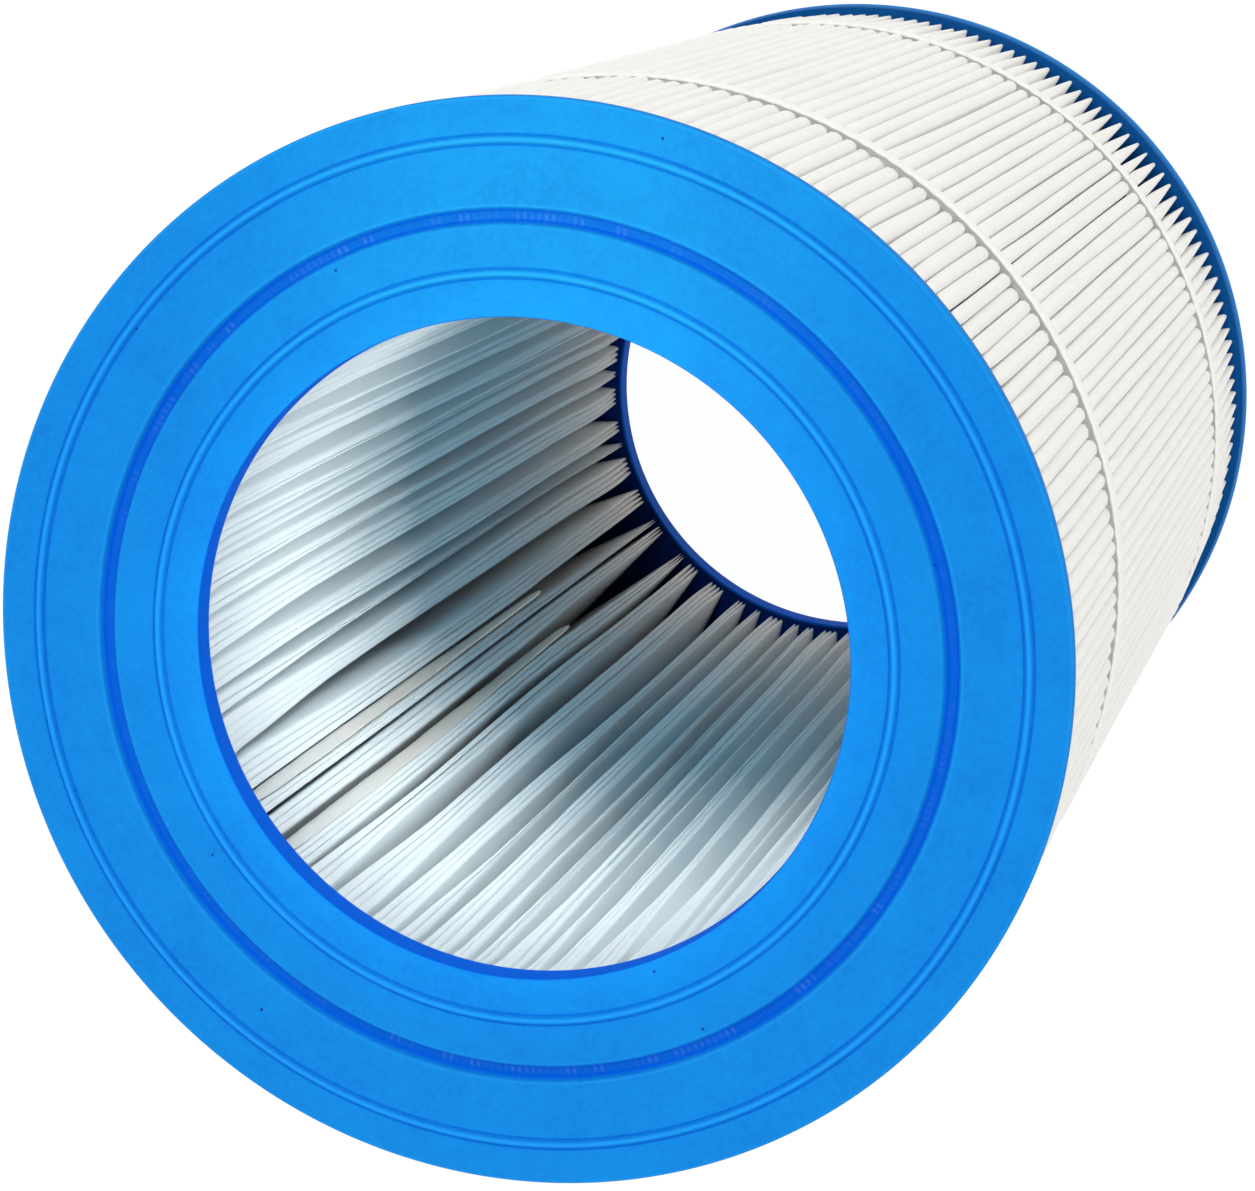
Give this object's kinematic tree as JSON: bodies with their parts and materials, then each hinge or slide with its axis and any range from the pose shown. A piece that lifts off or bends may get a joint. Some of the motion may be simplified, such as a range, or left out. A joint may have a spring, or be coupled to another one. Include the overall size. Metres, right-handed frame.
{
  "type": "pleated filter cartridge",
  "caption": "Open-bore pleated filter cartridge: folded polyester media between two cast blue ring caps, held by narrow bands; it slips over a filter's centre pipe and strains pool water.",
  "frame": {"origin": "centre of the bottom cap's bead crests, where the cartridge stands", "axes": "+Z along the axis of the bore, from the bottom cap to the top cap"},
  "size_m": [0.2556, 0.2556, 0.419],
  "materials": {
    "cap_polyurethane": "cast polyurethane, satin, light blue",
    "media_polyester": "spun-bonded polyester, white, matt with a faint calender pattern",
    "seam_sealant": "hot-melt sealant, cream, satin",
    "band_polyester": "flat polyester strip, white, matt"
  },
  "bodies": {
    "root": {"top_end_cap": "cap_polyurethane", "bottom_end_cap": "cap_polyurethane", "pleated_media": "media_polyester", "side_seam": "seam_sealant", "upper_band": "band_polyester", "lower_band": "band_polyester"}
  },
  "joints": []
}
